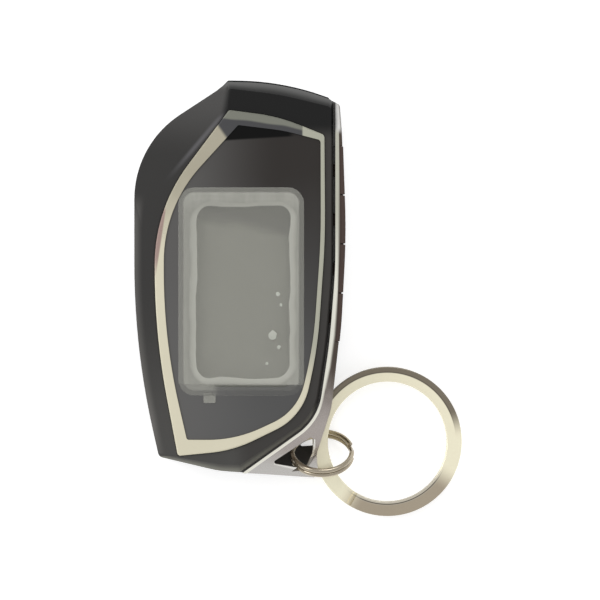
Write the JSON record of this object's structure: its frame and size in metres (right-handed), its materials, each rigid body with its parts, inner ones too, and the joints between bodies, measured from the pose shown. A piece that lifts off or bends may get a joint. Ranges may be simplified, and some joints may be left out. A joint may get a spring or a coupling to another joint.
{
  "type": "car alarm remote",
  "caption": "Two-way car alarm remote with a display behind a dark lens, side buttons, an eyelet lug, a small split ring and a flat key ring, lying on its back.",
  "frame": {"origin": "on the flat back, under the middle of the case", "axes": "+Z out of the front face, +Y along the case towards its top end, +X towards the button side"},
  "size_m": [0.0655, 0.0873, 0.0176],
  "materials": {
    "case_black": "soft-touch",
    "champagne": "satin metallic paint",
    "lens": "polished dark acrylic",
    "film": "thin clear film",
    "display_glass": "polished",
    "white_plastic": "moulded",
    "rubber": "soft",
    "board": "solder mask",
    "chip": "moulded epoxy",
    "steel": "plain",
    "brass": "plain",
    "battery_wrap": "shrink sleeve",
    "button": "polished",
    "chrome": "satin chrome plate",
    "ring_steel": "nickel plate"
  },
  "bodies": {
    "case": {"antenna_coil": "brass", "backlight_guide": "white_plastic", "backlight_leds": "white_plastic", "battery": "battery_wrap", "battery_plate_contact": "steel", "battery_spring": "steel", "bezel_frame": "champagne", "board_screws": "steel", "buzzer": "chip", "case_screws": "steel", "chip_parts": "chip", "clock_crystal": "steel", "contact_strip_bottom": "rubber", "contact_strip_top": "rubber", "front_housing": "case_black", "lcd_front_glass": "display_glass", "lcd_holder": "white_plastic", "lcd_rear_glass": "display_glass", "lens_window": "lens", "main_board": "board", "microcontroller": "chip", "motor_can": "steel", "motor_sleeve": "rubber", "protective_film": "film", "radio_shield": "steel", "rear_cover": "case_black", "side_trim": "chrome", "tact_switch_1": "chip", "tact_switch_2": "chip", "tact_switch_3": "chip", "tact_switch_4": "chip"},
    "button_1": {"side_button_1": "button", "switch_plunger_1": "white_plastic"},
    "button_2": {"side_button_2": "button", "switch_plunger_2": "white_plastic"},
    "button_3": {"side_button_3": "button", "switch_plunger_3": "white_plastic"},
    "button_4": {"side_button_4": "button", "switch_plunger_4": "white_plastic"},
    "door": {"battery_door": "case_black"},
    "motor_rotor": {"motor_shaft": "steel", "eccentric_weight": "steel"},
    "split_ring": {"split_ring": "ring_steel"},
    "key_ring": {"key_ring": "ring_steel"}
  },
  "joints": [
    {"name": "button_1_press", "type": "slide", "parent": "case", "child": "button_1", "axis": [-1, 0, 0], "range_m": [0, 0.0004], "stiffness_N_per_m": 3000, "springref_m": -0.0003},
    {"name": "button_2_press", "type": "slide", "parent": "case", "child": "button_2", "axis": [-1, 0, 0], "range_m": [0, 0.0004], "stiffness_N_per_m": 3000, "springref_m": -0.0003},
    {"name": "button_3_press", "type": "slide", "parent": "case", "child": "button_3", "axis": [-1, 0, 0], "range_m": [0, 0.0004], "stiffness_N_per_m": 3000, "springref_m": -0.0003},
    {"name": "button_4_press", "type": "slide", "parent": "case", "child": "button_4", "axis": [-1, 0, 0], "range_m": [0, 0.0004], "stiffness_N_per_m": 3000, "springref_m": -0.0003},
    {"name": "battery_door_slide", "type": "slide", "parent": "case", "child": "door", "axis": [0, -1, 0], "range_m": [0, 0.05]},
    {"name": "motor_spin", "type": "hinge", "parent": "case", "child": "motor_rotor", "pos_m": [0.007, 0.025, 0.0054], "axis": [1, 0, 0], "continuous": true},
    {"name": "split_ring_swing", "type": "hinge", "parent": "case", "child": "split_ring", "pos_m": [0.0162, -0.0348, 0.00555], "axis": [-1, 0, 0], "range_deg": [0, 10]},
    {"name": "key_ring_lift", "type": "hinge", "parent": "split_ring", "child": "key_ring", "pos_m": [0.0144, -0.0322, 0.0022], "axis": [0, -1, 0], "range_deg": [0, 15]}
  ]
}
